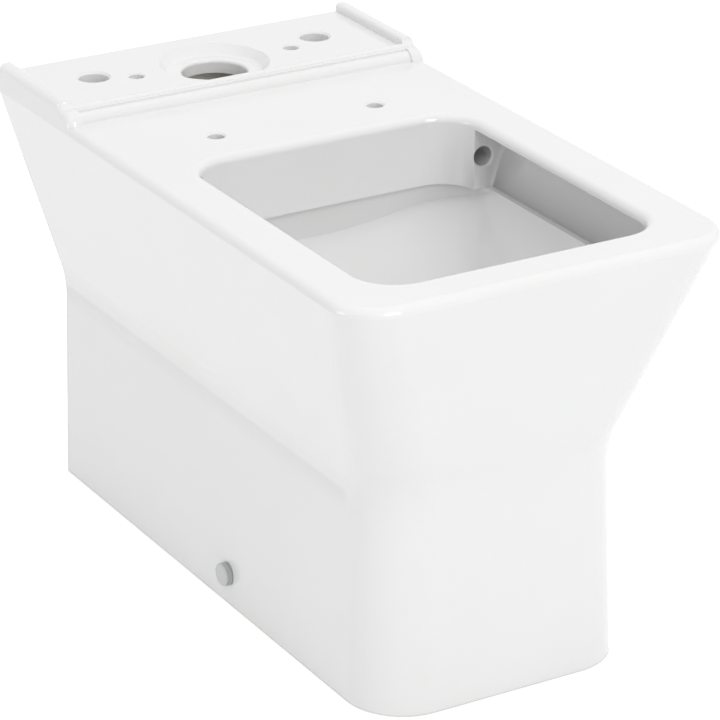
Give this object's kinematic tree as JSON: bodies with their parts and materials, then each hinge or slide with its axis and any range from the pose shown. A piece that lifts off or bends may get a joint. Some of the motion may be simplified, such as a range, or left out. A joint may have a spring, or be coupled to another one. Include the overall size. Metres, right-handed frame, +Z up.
{
  "type": "close coupled toilet pan",
  "caption": "Back-to-wall white china toilet pan with a squared open bowl, a raised shelf for a close coupled cistern and capped side fixings.",
  "frame": {"origin": "on the floor, at the middle of the pan's footprint box: half-way between its two sides and half-way between the front of the rim and the rear wall face", "axes": "+Z up; the front of the pan faces -Y and its back stands against the wall at +Y; +X is the side on the right of somebody who stands in front and looks at it; it is the same on both sides of X = 0"},
  "size_m": [0.36, 0.63, 0.412],
  "materials": {
    "china": "smooth glossy white glaze",
    "cap_chrome": "satin bright plating",
    "sleeve_plastic": "moulded, plain",
    "fixing_steel": "zinc plated",
    "bracket_plastic": "moulded, plain"
  },
  "bodies": {
    "pan": {"rim": "china", "seat_deck": "china", "cistern_shelf": "china", "flush_duct": "china", "bowl": "china", "trap_inlet": "china", "trap_riser": "china", "trap_fall": "china", "outlet_spigot": "china", "outlet_stay_left": "china", "outlet_stay_right": "china", "pedestal_shell": "china", "screw_sleeve_left": "sleeve_plastic", "screw_sleeve_right": "sleeve_plastic", "screw_washer_left": "fixing_steel", "screw_washer_right": "fixing_steel", "side_screw_left": "fixing_steel", "side_screw_right": "fixing_steel", "floor_bracket_left": "bracket_plastic", "floor_bracket_right": "bracket_plastic"},
    "cap_left": {"cover_cap_left": "cap_chrome"},
    "cap_right": {"cover_cap_right": "cap_chrome"}
  },
  "joints": [
    {"name": "cap_left_pull", "type": "slide", "parent": "pan", "child": "cap_left", "axis": [-1, 0, 0], "range_m": [0, 0.03]},
    {"name": "cap_right_pull", "type": "slide", "parent": "pan", "child": "cap_right", "axis": [1, 0, 0], "range_m": [0, 0.03]}
  ]
}
